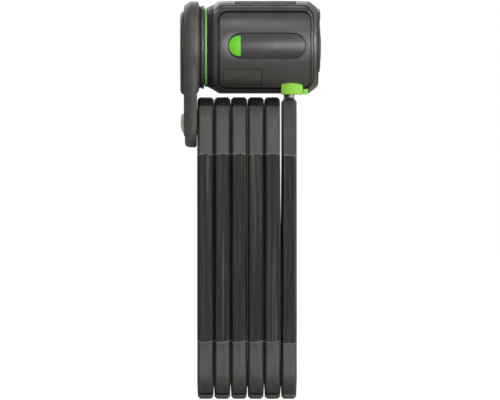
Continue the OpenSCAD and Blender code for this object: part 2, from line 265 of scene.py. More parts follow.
def soften(piece, width, angle=32, segments=2, smooth=32):
    """Rounds every edge sharper than the angle, and smooths the shading over the others."""
    pick(piece)
    if width:
        step = piece.modifiers.new("soft edges", "BEVEL")
        step.width = width * MM
        step.segments = segments
        step.limit_method = "ANGLE"
        step.angle_limit = math.radians(angle)
        step.use_clamp_overlap = True
        bpy.ops.object.modifier_apply(modifier=step.name)
    bpy.ops.object.shade_smooth_by_angle(angle=math.radians(smooth))
    return piece


def copied(piece, name, shift=(0, 0, 0)):
    pick(piece)
    bpy.ops.object.duplicate()
    twin = named(name)
    twin.location = Vector(shift) * MM
    return settle(twin)


def halved(piece, at, normal):
    """Keeps what lies behind a plane, and closes the cut."""
    edit(piece)
    bpy.ops.mesh.select_all(action="SELECT")
    bpy.ops.mesh.bisect(plane_co=Vector(at) * MM, plane_no=normal, clear_outer=True, use_fill=True)
    done()
    return piece


def finished(piece, body, *stands_for, material=None):
    """Gives the piece its finish, ties it to its body, and says which CAD nodes it stands for."""
    if material is not None:
        piece.data.materials.clear()
        piece.data.materials.append(material)
    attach(piece, body)
    if stands_for:
        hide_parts(*stands_for)
    print(piece.name, len(piece.data.polygons), "faces, rides on", body)
    return piece


# %% [markdown]
# ## Finishes
# Nearly all of the lock is dark plastic, yet no two parts look alike: the casing is satin with a
# fine spark-eroded grain, the badge is bluish, the end covers are a warm grey with faint streaks
# and the sleeves are a soft rubber that was pulled over the bars. One recipe serves them all.
# A wide noise shifts the colour, a second one the roughness, and a fine one makes the grain, all
# on object coordinates, so that the pattern is part of the piece and turns with it.

# %% The recipe for a finish
def surface(name, dark, light, roughness, patch=(60, 60, 60), grain=(2600, 2600, 2600), depth=0.02,
            metallic=0.0, level=0.5, streak=None, tint=None):
    """dark and light are colours, roughness is a range, depth the grain's height in mm.
    streak is (scale, depth in mm) of a second relief, and tint (colour, amount) lightens it."""
    material = bpy.data.materials.new(name)
    material.use_nodes = True
    tree = material.node_tree
    shader = tree.nodes["Principled BSDF"]
    shader.inputs["Metallic"].default_value = metallic
    shader.inputs["Specular IOR Level"].default_value = level
    place = tree.nodes.new("ShaderNodeTexCoord")

    def pattern(scale, detail, rough=0.55):
        size = tree.nodes.new("ShaderNodeMapping")
        size.inputs["Scale"].default_value = scale
        cloud = tree.nodes.new("ShaderNodeTexNoise")
        cloud.inputs["Scale"].default_value = 1.0
        cloud.inputs["Detail"].default_value = detail
        cloud.inputs["Roughness"].default_value = rough
        tree.links.new(place.outputs["Object"], size.inputs["Vector"])
        tree.links.new(size.outputs["Vector"], cloud.inputs["Vector"])
        return cloud.outputs["Fac"]

    wide = pattern(patch, 4.0)
    colours = tree.nodes.new("ShaderNodeValToRGB")
    colours.color_ramp.elements[0].position = 0.32
    colours.color_ramp.elements[0].color = (*dark, 1)
    colours.color_ramp.elements[1].position = 0.70
    colours.color_ramp.elements[1].color = (*light, 1)
    tree.links.new(wide, colours.inputs["Fac"])
    colour = colours.outputs["Color"]
    fine = pattern(grain, 3.0)
    height = tree.nodes.new("ShaderNodeMath")
    height.operation = "MULTIPLY"
    height.inputs[1].default_value = depth
    tree.links.new(fine, height.inputs[0])
    relief = height.outputs["Value"]
    if streak:
        lines = pattern(streak[0], 3.0, 0.6)
        add = tree.nodes.new("ShaderNodeMath")
        add.operation = "MULTIPLY_ADD"
        add.inputs[1].default_value = streak[1]
        tree.links.new(lines, add.inputs[0])
        tree.links.new(relief, add.inputs[2])
        relief = add.outputs["Value"]
        if tint:
            mix = tree.nodes.new("ShaderNodeMix")
            mix.data_type = "RGBA"
            share = tree.nodes.new("ShaderNodeMapRange")
            share.inputs["From Min"].default_value = 0.52
            share.inputs["From Max"].default_value = 0.80
            share.inputs["To Max"].default_value = tint[1]
            tree.links.new(lines, share.inputs["Value"])
            tree.links.new(share.outputs["Result"], mix.inputs["Factor"])
            tree.links.new(colour, mix.inputs["A"])
            mix.inputs["B"].default_value = (*tint[0], 1)
            colour = mix.outputs["Result"]
    tree.links.new(colour, shader.inputs["Base Color"])
    polish = tree.nodes.new("ShaderNodeMapRange")
    polish.inputs["From Min"].default_value = 0.3
    polish.inputs["From Max"].default_value = 0.7
    polish.inputs["To Min"].default_value = roughness[0]
    polish.inputs["To Max"].default_value = roughness[1]
    tree.links.new(pattern([v * 3.1 for v in patch], 3.0), polish.inputs["Value"])
    tree.links.new(polish.outputs["Result"], shader.inputs["Roughness"])
    bump = tree.nodes.new("ShaderNodeBump")
    bump.inputs["Strength"].default_value = 1.0
    bump.inputs["Distance"].default_value = MM
    tree.links.new(relief, bump.inputs["Height"])
    tree.links.new(bump.outputs["Normal"], shader.inputs["Normal"])
    return material


# %% [markdown]
# The plastics are near black with a warm cast and differ mostly in gloss. The rubber gets long
# streaks: a noise that is stretched along the bar, used for the relief and for the colour.

# %% Plastics and rubber
casing_black = surface("casing black", (0.040, 0.038, 0.035), (0.053, 0.051, 0.047), (0.38, 0.50),
                       depth=0.016, level=0.85)
panel_grey = surface("panel grey", (0.034, 0.032, 0.0295), (0.046, 0.0435, 0.041), (0.36, 0.46),
                     depth=0.018, level=0.9)
end_ring_black = surface("end ring black", (0.014, 0.014, 0.0125), (0.022, 0.022, 0.020), (0.40, 0.50),
                         depth=0.012, level=0.3)
badge_blue_grey = surface("badge blue grey", (0.017, 0.0178, 0.021), (0.029, 0.030, 0.035), (0.30, 0.42),
                          depth=0.010, level=0.7)
cap_grey = surface("cap grey", (0.045, 0.043, 0.040), (0.060, 0.057, 0.052), (0.38, 0.50), depth=0.012)
arm_black = surface("arm black", (0.048, 0.046, 0.042), (0.080, 0.077, 0.070), (0.42, 0.58),
                    patch=(160, 160, 160), grain=(1300, 1300, 900), depth=0.045)
soft_black = surface("soft black", (0.010, 0.010, 0.009), (0.016, 0.015, 0.014), (0.55, 0.70), depth=0.02)
fresh_green = surface("fresh green", (0.100, 0.440, 0.010), (0.128, 0.500, 0.016), (0.36, 0.48),
                      patch=(90, 90, 90), depth=0.012, level=0.28)
plate_grey = surface("plate grey", (0.034, 0.032, 0.028), (0.044, 0.041, 0.036), (0.17, 0.23),
                     depth=0.002, level=1.0)
# Painted shade: near black for the upper round ends of the covers and a thin band above the lower tips.
round_end_painted_shade = surface("round end painted shade", (0.009, 0.009, 0.0085), (0.016, 0.016, 0.015), (0.48, 0.62), depth=0.02, level=0.25)
# Painted light: a pale grey for the lower tips, standing in for light thrown up from the floor.
tip_painted_light = surface("tip painted light", (0.140, 0.137, 0.125), (0.215, 0.209, 0.192), (0.46, 0.60), patch=(500, 500, 500),
                    depth=0.03)
# Painted highlight: a light grey for the lip where a cover meets the sleeve.
lip_painted_highlight = surface("lip painted highlight", (0.075, 0.072, 0.068), (0.130, 0.125, 0.118), (0.40, 0.55), patch=(700, 700, 700),
                    depth=0.02)
tip_steel = surface("tip steel", (0.055, 0.054, 0.049), (0.100, 0.097, 0.088), (0.42, 0.60), patch=(420, 420, 420),
                    grain=(1300, 1300, 1300), depth=0.04)
socket_green = surface("socket green", (0.205, 0.500, 0.038), (0.255, 0.580, 0.052), (0.36, 0.48),
                       patch=(90, 90, 90), depth=0.012, level=0.28)
ring_green = surface("ring green", (0.130, 0.420, 0.080), (0.170, 0.500, 0.100), (0.40, 0.50), depth=0.010)
cover_grey = surface("cover grey", (0.033, 0.0305, 0.0285), (0.047, 0.043, 0.040), (0.46, 0.58),
                     patch=(420, 420, 40), grain=(2200, 2200, 1200), depth=0.015,
                     streak=((900, 900, 22), 0.018), tint=((0.068, 0.063, 0.059), 0.5))
sleeve_rubber = surface("sleeve rubber", (0.0075, 0.008, 0.0068), (0.016, 0.0165, 0.0145), (0.55, 0.78),
                        patch=(500, 500, 24), grain=(2400, 2400, 900), depth=0.025, level=0.28,
                        streak=((760, 760, 10), 0.110), tint=((0.085, 0.087, 0.077), 1.0))
print("plastics and rubber:", len([m for m in bpy.data.materials if m.use_nodes]))

# %% [markdown]
# Metals have no colour of their own other than what they reflect, so the colour here is that of
# the reflection. Steel that is handled is rougher than steel that is turned, and grain runs along
# the way a tool went.

# %% Metals
housing_zinc = surface("housing zinc", (0.36, 0.36, 0.35), (0.48, 0.47, 0.45), (0.36, 0.52),
                       metallic=1.0, depth=0.02)
bright_steel = surface("bright steel", (0.46, 0.45, 0.43), (0.60, 0.59, 0.56), (0.24, 0.38),
                       metallic=1.0, depth=0.006)
rivet_steel = surface("rivet steel", (0.60, 0.575, 0.53), (0.78, 0.75, 0.69), (0.26, 0.40), metallic=1.0,
                      patch=(300, 300, 300), depth=0.01)
bolt_steel = surface("bolt steel", (0.20, 0.20, 0.20), (0.34, 0.34, 0.335), (0.34, 0.46), metallic=0.7,
                     grain=(500, 500, 3000), depth=0.008)
black_steel = surface("black steel", (0.020, 0.020, 0.021), (0.034, 0.033, 0.033), (0.36, 0.50),
                      metallic=0.6, depth=0.015)
hardened_steel = surface("hardened steel", (0.16, 0.155, 0.15), (0.24, 0.235, 0.225), (0.32, 0.46),
                         metallic=1.0, depth=0.012)
turned_brass = surface("turned brass", (0.52, 0.38, 0.16), (0.64, 0.48, 0.22), (0.26, 0.38), metallic=1.0,
                       grain=(3000, 400, 400), depth=0.008)
print("finishes so far:", [m.name for m in bpy.data.materials if m.use_nodes][-7:])

# %% [markdown]
# Most inner pieces are seen only through a gap or when the lock opens. Their CAD shape is good
# enough, and only the finish is laid on.

# %% CAD pieces that keep their shape get their finish
kept = {
    housing_zinc: ["lock_core", "spindle_nut"],
    bright_steel: ["wave_washer", "cylinder_retaining_pin", "swivel_spindle", "detainer_discs", "drive_cam",
                   "latch_plate", "arm_washer"] + [f"washer_{k}_{k + 1}" for k in range(1, 6)],
    hardened_steel: ["socket_liner", "casing_screws"],
    turned_brass: ["cylinder_sleeve", "key_plug"],
    black_steel: [f"bar_{k}_core" for k in range(1, 7)],
}
for material, names in kept.items():
    for name in names:
        nodes[name].data.materials.clear()
        nodes[name].data.materials.append(material)
print("kept CAD pieces:", sum(len(names) for names in kept.values()))

# %% [markdown]
# ## The lock body
# The casing is two moulded half shells that close round the steel housing. Seen from the front
# it is a short round bar with bevelled ends. It is turned as one ring with rounded corners, the
# openings are cut with boolean shapes, and only then is it halved, so that both halves match
# along the seam.

# %% Tools for cutting curved pockets
def tube(name, inner, outer, left=-60, right=30):
    return turned(name, [(left, inner), (left, outer), (right, outer), (right, inner)], hollow=True, sides=192)


def curved_plate(name, left, right, low, high, corner, inner, outer):
    """A rounded rectangle seen from the front, wrapped round the body."""
    piece = front_plate(name, left, right, low, high, corner, -30, -4)
    return combine(piece, tube("wrap", inner, outer), "INTERSECT")


def socket_room(grow=0.3):
    """The room that the mouthpiece and the shutter's tab take under the body."""
    room = turned("room", [(-27, 14 + grow), (-11, 14 + grow)], axis="Z", centre=(1.2, 0, 0), sides=96)
    room = combine(room, block("room sides", (-4 - grow, -16, -26), (6.7 + grow, 16, -12)), "INTERSECT")
    return combine(room, block("tab room", (6.6, -14, -25), (9.75, 2.6, -20.6)), "UNION")


print("pocket tools ready")

# %% [markdown]
# The casing starts as one ring. The room for the panel, the socket and the pad is cut, then a
# fine line that follows a rounded rectangle, which makes the border look like a raised frame.

# %% Casing
casing = turned("casing", softened(
    [(-38.05, 19.05), (-38.05, 21.35), (-35.4, 22.95), (-34.4, 23.2), (9.2, 23.2), (9.9, 23.0), (13.9, 19.9),
     (13.9, 18.55), (12.45, 18.55), (9.3, 20.65), (-35.45, 20.65)],
    0.45, keep=(0, 7, 8, 9, 10), closed=True), hollow=True, sides=192)
casing = combine(casing, curved_plate("panel room", -35.9, 11.1, -21.0, 17.9, 4.8, 21.5, 30))
casing = combine(casing, socket_room())
pad_room = combine(block("pad room", (-27.08, -9.3, 10), (3.58, 9.3, 30)), tube("pad wrap", 22.5, 30), "INTERSECT")
casing = combine(casing, pad_room)
line = front_plate("frame line", -38.6, 12.3, -21.6, 20.75, 6.4, -30, -4, steps=10)
line = combine(line, front_plate("frame inside", -38.05, 11.75, -21.1, 20.25, 5.9, -31, -3, steps=10))
line_depth = [(-39, 20.95), (-35.5, 22.65), (-34.4, 22.85), (9.3, 22.85), (13.9, 19.55), (13.9, 30), (-39, 30)]
line = combine(line, turned("line wrap", line_depth, hollow=True, sides=192), "INTERSECT")
casing = combine(casing, line)
print("casing", len(casing.data.polygons), "faces")

# %% [markdown]
# The rear has a flat and four wells for the screws that hold the halves together. They are cut
# before the ring is halved, like all openings.

# %% Rear of the casing: the flat it rests on and the screw wells
casing = combine(casing, block("rear flat", (-29, 21.9, -9), (3, 30, 9)))
for x in (-32, 6.6):
    for z in (-9, 9):
        casing = combine(casing, turned("well", [(19.4, 2.7), (30, 2.7)], axis="Y", centre=(x, 0, z), sides=40))
print("casing with wells", len(casing.data.polygons), "faces")

# %% [markdown]
# The ring is copied, each copy is cut along the same plane, and only then the edges are softened.
# Softening first would leave a sharp seam.

# %% Two half shells
rear_shell = copied(casing, "rear_shell")
front_shell = casing
front_shell.name = "front_shell"
halved(front_shell, (0, 0.0, 0), (0, 1, 0))
halved(rear_shell, (0, 0.0, 0), (0, -1, 0))
for shell, node in ((front_shell, "casing_front"), (rear_shell, "casing_rear")):
    soften(shell, 0.16, angle=38, segments=2)
    finished(shell, "lock_body", node, material=casing_black)

# %% [markdown]
# The front panel is a separate moulding that lies in the casing like a label. A gap runs all
# round it. It has a long recess for the badge and a shallow one at the lower left, and it makes
# way for the green mouthpiece. Rounded edges matter here: they catch the light and draw the
# outlines that make the lock look moulded and not sawn.

# %% Front panel
panel = curved_plate("panel", -34.4, 10.45, -20.3, 17.0, 3.8, 21.5, 22.95)
panel = combine(panel, front_plate("badge room", -30.7, 8.3, -6.25, 6.95, 6.55, -30, -4, steps=14))
panel = combine(panel, curved_plate("shallow room", -33.4, -13.4, -19.1, -10.6, 1.0, 22.6, 30))
panel = combine(panel, curved_plate("deeper room", -33.0, -13.8, -18.7, -11.2, 0.8, 22.0, 30))
panel = combine(panel, socket_room(0.33))
soften(panel, 0.30, angle=38, segments=3)
finished(panel, "lock_body", "front_panel", material=panel_grey)

# %% [markdown]
# The gap round the panel is as dark as a deep gap only when something dark lies in it. A thin
# near-black strip in its floor does that: painted shade for the deep gap.

# %% Painted shade in the gap round the panel
panel_gap_painted_shade = curved_plate("panel_gap_painted_shade", -35.85, 11.05, -20.95, 17.85, 4.7, 21.5, 21.95)
panel_gap_painted_shade = combine(panel_gap_painted_shade, front_plate("panel area", -34.2, 10.3, -20.1, 16.8, 3.7, -31, -3))
panel_gap_painted_shade = combine(panel_gap_painted_shade, socket_room(0.36))
soften(panel_gap_painted_shade, 0)
finished(panel_gap_painted_shade, "lock_body", material=soft_black)

# %% [markdown]
# A blank plate fills the lower recess. A wide bevel and a glossier finish let its edge be seen.

# %% Blank plate in the lower recess
plate = curved_plate("blank_plate", -32.8, -14.0, -18.5, -11.4, 0.7, 21.9, 22.85)
soften(plate, 0.42, angle=45, segments=4)
finished(plate, "lock_body", material=plate_grey)

# %% [markdown]
# The badge is a smooth plate with no lettering. A plain green half disc follows its left end.
# Both are crossed with a tube, so that they have the curve of the body.

# %% Badge plate with its green half disc
badge = front_plate("badge", -30.5, 8.1, -6.05, 6.75, 6.35, -30, -4, steps=14)
badge = combine(badge, tube("badge wrap", 21.5, 22.35), "INTERSECT")
soften(badge, 0.25, angle=38, segments=3)
finished(badge, "lock_body", "badge_plate", material=badge_blue_grey)
inlay = turned("half_disc", [(-30, 5.0), (-10, 5.0)], axis="Y", centre=(-25.1, 0, 0.35), sides=72)
inlay = combine(inlay, block("straight edge", (-24.2, -31, -8), (-10, -5, 8)))
inlay = combine(inlay, tube("inlay wrap", 22.2, 22.72), "INTERSECT")
soften(inlay, 0.12, angle=40, segments=2)
finished(inlay, "lock_body", "badge_inlay", material=fresh_green)

# %% [markdown]
# On top lies a thin rubber pad in a shallow room. It is the same kind of crossing of a block with
# a tube, almost flush with the casing.

# %% Rubber pad on top
pad = combine(block("top_pad", (-27, -9.2, 10), (3.5, 9.2, 30)), tube("pad wrap", 22.5, 23.16), "INTERSECT")
soften(pad, 0.15, angle=38, segments=2)
finished(pad, "lock_body", material=soft_black)

# %% [markdown]
# ## Rings and the two ends
# Between the body and the arm lie a dark end ring, a thin green ring and the grooved neck ring.
# They are all turned, so the whole look is in the outline: a rounded shoulder, a groove, a step.

# %% Rings
end_ring = turned("end_ring", softened(
    [(-40.95, 8.1), (-40.95, 19.8), (-38.05, 21.3), (-38.05, 8.1)], 0.5, keep=(0, 3), closed=True),
    hollow=True, sides=160)
soften(end_ring, 0)
finished(end_ring, "lock_body", "left_end_ring", material=end_ring_black)
green_ring = turned("green_ring", softened(
    [(-42.05, 8.1), (-42.05, 19.9), (-40.97, 19.9), (-40.97, 8.1)], 0.2, keep=(0, 3), closed=True),
    hollow=True, sides=160)
soften(green_ring, 0)
finished(green_ring, "lock_body", "accent_ring", material=ring_green)
neck = turned("neck", softened(
    [(-44.1, 8.1), (-44.1, 20.3), (-43.7, 20.85), (-42.7, 20.85), (-42.5, 20.3),
     (-42.5, 19.3), (-42.07, 19.3), (-42.07, 8.1)],
    0.2, keep=(0, 7), closed=True), hollow=True, sides=160)
soften(neck, 0)
finished(neck, "lock_body", "neck_ring", material=casing_black)

# %% [markdown]
# Between neck and arm is a gap in which the arm turns. A near-black ring fills it in place of the
# steel washer: painted shade for the dark groove.

# %% Painted shade in the gap to the arm
# painted shade: this near-black ring darkens the groove between neck and arm
seal = turned("arm_gap_painted_shade", softened(
    [(-45.02, 8.1), (-45.02, 20.7), (-44.12, 20.2), (-44.12, 8.1)], 0.15, keep=(0, 3), closed=True),
    hollow=True, sides=128)
soften(seal, 0)
finished(seal, "lock_body", "wave_washer", material=soft_black)

# %% [markdown]
# The end cap is turned. The keyhole cover is a teardrop: the belt round a large and a small disc,
# with a low dome, a rib for the fingernail and a hole for its pin.

# %% Right end with the keyhole cover
end_cap = turned("end_cap", softened(
    [(12.45, 6.55), (12.45, 18.5), (13.9, 18.5), (13.9, 19.7), (14.3, 19.3), (14.65, 17.6), (14.65, 6.55)],
    0.3, keep=(0, 1, 2), closed=True), hollow=True, sides=160)
soften(end_cap, 0)
finished(end_cap, "lock_body", "right_end_cap", material=end_ring_black)
blade = hulled("key_cover", *[
    turned("lobe", [(14.72, r - 0.2), (14.86, r), (15.14, r), (15.3, r - 0.2)], centre=(0, 0, z), sides=96)
    for r, z in ((12.4, 0), (3.8, 15.5))])
dome = turned("dome", softened([(14.9, 12.3), (15.12, 12.3), (15.5, 9.5), (15.95, 3.2), (15.95, 0.4)], 1.2), sides=96)
blade = combine(blade, dome, "UNION")
blade = combine(blade, front_plate("nail rib", 15.2, 15.62, -10.2, -9.2, 0.2, -4, 4), "UNION")
blade = combine(blade, turned("pin hole", [(13, 1.55), (18, 1.55)], centre=(0, 0, 15.5), sides=40))
soften(blade, 0.1, angle=30, segments=2)
finished(blade, "keyhole_cover", "keyhole_cover", material=cap_grey)
pivot_pin = turned("cover_pin", softened([(12.6, 1.5), (15.3, 1.5), (15.3, 2.4), (15.45, 2.4), (15.62, 1.2)], 0.1),
                   centre=(0, 0, 15.5), sides=48)
soften(pivot_pin, 0)
finished(pivot_pin, "lock_body", "cover_pivot_pin", material=hardened_steel)

# %% [markdown]
# ## The green socket
# The mouthpiece guides the bolt in from below. It is a slice of a round bar: its front and rear
# are curved and its sides flat. The shutter slides in a slot in it and ends in a small green tab
# to its right, which a finger pushes.

# %% Mouthpiece and shutter
mouth = turned("mouthpiece", [(-23.6, 13.4), (-11, 13.4)], axis="Z", centre=(1.2, 0, 0), sides=128)
mouth = combine(mouth, block("sides", (-4, -16, -26), (6.7, 16, -12)), "INTERSECT")
mouth = combine(mouth, turned("bed", [(-20, 20.65), (20, 20.65)], sides=160))
mouth = combine(mouth, turned("bolt room", [(-26, 3.2), (-12, 3.2)], axis="Z", sides=64))
mouth = combine(mouth, block("slot", (-3.5, -11.3, -22.7), (8, 11.3, -21.7)))
soften(mouth, 0.28, angle=38, segments=3)
finished(mouth, "lock_body", "socket_mouthpiece", material=socket_green)
# A near-black strip just behind the mouthpiece's front darkens the gap round it: painted shade.
mouth_gap_painted_shade = turned("mouth_gap_painted_shade", [(-23.0, 13.0), (-12, 13.0)], axis="Z", centre=(1.2, 0, 0), sides=96)
mouth_gap_painted_shade = combine(mouth_gap_painted_shade, block("shade strip sides", (-4.28, -16, -26), (6.96, 16, -12)), "INTERSECT")
mouth_gap_painted_shade = combine(mouth_gap_painted_shade, block("shade strip room", (-4.02, -16, -24), (6.72, 16, -10)))
soften(mouth_gap_painted_shade, 0)
finished(mouth_gap_painted_shade, "lock_body", material=soft_black)
shutter = combine(block("shutter", (-3.45, -10.5, -22.6), (6.6, 4, -21.8)),
                  block("neck", (6.4, -10.3, -22.6), (7.0, -5.5, -21.8)), "UNION")
shutter = combine(shutter, block("tab", (6.75, -10.3, -23.7), (9.45, -5.5, -21.0)), "UNION")
shutter = combine(shutter, turned("shutter hole", [(-24, 3.4), (-20, 3.4)], axis="Z", sides=64))
soften(shutter, 0.25, angle=38, segments=3)
finished(shutter, "socket_shutter", "socket_shutter", material=socket_green)

# %% [markdown]
# ## The swivel arm
# The arm is a teardrop: a big disc over the body's end that narrows to the first hinge. A teardrop
# is the belt round two discs, so two turned discs are wrapped in one skin with the convex hull.
# Their rounded rims give the skin its soft edges.

# %% Arm cover
HINGE = (0, 0, -37.5)     # the first hinge, at the arm's tip
arm = hulled("arm_shell", *[
    turned("lobe", [(-52.6, r - 3.4), (-52.4, r - 2.5), (-51.9, r - 1.75), (-51.1, r - 1.15), (-50.1, r - 0.6),
                    (-49.2, r - 0.2), (-48.5, r), (-47.8, r - 0.1), (-47.0, r - 0.45), (-46.5, r - 0.8),
                    (-46.1, r - 1.3)], centre=(0, 0, z), sides=160)
    for r, z in ((23.0, 0), (12.65, -37.5))])
halved(arm, (0, 0, -44.3), (0, 0, -1))
disc = turned("disc", softened([(-49, 19.05), (-49, 22.5), (-47.6, 23.02), (-45.75, 22.95),
                                (-45.05, 21.9), (-45.05, 19.05)],
                               0.5, keep=(0, 1, 5), closed=True), hollow=True, sides=160)
arm = combine(arm, disc, "UNION")
arm = combine(arm, turned("rivet room", [(-49, 6.6), (-44, 6.6)], centre=HINGE, sides=64))
arm = combine(arm, turned("hub room", [(-46.3, 19.02), (-44, 19.02)], sides=96))
soften(arm, 0.18, angle=36, segments=2, smooth=28)
finished(arm, "swivel_arm", "arm_cover", material=arm_black)

# %% [markdown]
# The plastic cover leaves the steel free at the tip, round the first hinge, and at the hub. Both
# are turned, and joined into one piece, as they are one plate.

# %% Steel of the arm: its tip and its hub
tip = turned("arm_steel", [(-52.1, 10.6), (-51.9, 11.3), (-51.5, 11.9), (-50.7, 12.35), (-49.5, 12.6),
                           (-48.4, 12.65), (-47.0, 12.6), (-46.4, 12.3), (-46.15, 11.8)], centre=HINGE, sides=128)
halved(tip, (0, 0, -44.25), (0, 0, 1))
hub = turned("hub", softened([(-46.3, 8.06), (-46.3, 18.95), (-45.05, 18.95), (-45.05, 8.06)], 0.3,
                             keep=(0, 1), closed=True),
             hollow=True, sides=128)
pick(tip)
hub.select_set(True)
bpy.context.view_layer.objects.active = tip
bpy.ops.object.join()
soften(tip, 0, smooth=30)
finished(tip, "swivel_arm", "arm_plate", material=tip_steel)

# %% [markdown]
# The cap hides the spindle's nut. It is the same belt shape in small, with a ring groove in it.

# %% Cap over the arm's pivot
cap = hulled("pivot_cap", *[
    turned("lobe", [(-52.6, r), (-53.35, r - 0.05), (-53.5, r - 0.5), (-53.9, r - 0.7), (-54.25, r - 1.3),
                    (-54.4, r - 2.4)],
           centre=(0, 0, z), sides=144)
    for r, z in ((18.0, 0), (6.0, -17.6))])
cap = combine(cap, turned("ring groove", [(-54.15, 11.6), (-54.15, 12.2), (-56, 12.2), (-56, 11.6)],
                          hollow=True, sides=144))
soften(cap, 0.1, angle=40, segments=2, smooth=26)
finished(cap, "swivel_arm", "arm_cap", material=cap_grey)

# %% [markdown]
# The rivet's dome is the one bright spot on the left. Its outline is a quarter of an ellipse, with
# a straight shank and a flat head at the other end.

# %% Domed rivet of the arm
dome_outline = [(-52.6 - 1.6 * math.sin(math.radians(a)), 5.6 * math.cos(math.radians(a)))
                for a in (86, 72, 58, 44, 30, 16, 0)]
arm_rivet = turned("arm_rivet_dome", dome_outline + [
    (-52.55, 4.0), (-38.95, 4.0), (-38.94, 6.2), (-38.8, 6.4), (-38.3, 6.4), (-38.15, 6.2), (-38.15, 0.5)], centre=HINGE, sides=96)
soften(arm_rivet, 0, smooth=35)
finished(arm_rivet, "swivel_arm", "arm_rivet", material=rivet_steel)

# %% [markdown]
# ## The bars
# Six bars hang side by side, 8.35 mm apart. Each has a steel core in a rubber sleeve with a hard
# cover at both ends. A cover is one profile, the bevelled section of the bar, drawn straight
# along the bar and then swung half round the hinge. That is what Blender's spin does, so the
# cover is made from one ring: extruded one way and spun the other.

# %% A bar's section
BAR_PITCH = 8.35
TOP, BOTTOM = -37.5, -163.3     # heights of the upper and lower hinges
HALF_WIDE, HALF_NARROW = 4.165, 3.85     # half a bar's thickness, and half the last bar's
HALF_DEEP = 12.5                # half a bar's depth, and the radius of its round ends


def bar_x(k):
    return (k - 6) * BAR_PITCH


def section_ring(name, half_x, half_y, z, corner=1.15, cuts=9):
    """A ring of edges with bevelled corners, its long sides split so that they can be bent."""
    deselect()
    bpy.ops.mesh.primitive_plane_add(size=2, location=(0, 0, z * MM))
    piece = named(name)
    piece.scale = (half_x * MM, half_y * MM, 1)
    settle(piece)
    bpy.ops.object.mode_set(mode="EDIT")
    bpy.ops.mesh.select_mode(type="VERT")
    bpy.ops.mesh.select_all(action="SELECT")
    bpy.ops.mesh.bevel(offset=corner * MM, segments=3, affect="VERTICES", profile=0.28)
    bpy.ops.mesh.select_all(action="SELECT")
    bpy.ops.mesh.delete(type="ONLY_FACE")
    done()
    mesh = piece.data
    for vertex in mesh.vertices:
        drop = half_y * MM - abs(vertex.co.y)
        if drop < 1.01 * corner * MM:
            vertex.co.y = math.copysign(half_y * MM - drop * 1.8, vertex.co.y)
    for edge in mesh.edges:
        a, b = (mesh.vertices[v].co for v in edge.vertices)
        edge.select = (a - b).length > 2.5 * MM
    for vertex in mesh.vertices:
        vertex.select = False
    pick(piece)
    bpy.ops.object.mode_set(mode="EDIT")
    bpy.ops.mesh.select_mode(type="EDGE")
    bpy.ops.mesh.subdivide(number_cuts=cuts)
    done()
    return piece


def drawn_along(piece, steps):
    """Extrudes the selected ring along Z; each step is (distance, grow in X, grow in Y)."""
    for distance, grow_x, grow_y in steps:
        bpy.ops.mesh.extrude_region_move(TRANSFORM_OT_translate={"value": (0, 0, distance * MM)})
        if (grow_x, grow_y) != (1, 1):
            bpy.ops.transform.resize(value=(grow_x, grow_y, 1), center_override=(0, 0, 0))


ring = section_ring("ring", HALF_WIDE, HALF_DEEP, 0)
print("section ring", len(ring.data.vertices), "points")
bpy.data.objects.remove(ring)


# %% [markdown]
# The straight part of the cover is extruded and ends in a thin lip on the sleeve; the round end
# is spun half round the hinge. Then the points are pushed a little: narrower towards the tip, and
# a wavy edge where the rubber bulges. The colours of the ends are painted light and shade: painted
# shade on the upper round ends and in a thin band above the lower tips of the wide bars, painted
# light on the lower tips, and a painted highlight on the lip.

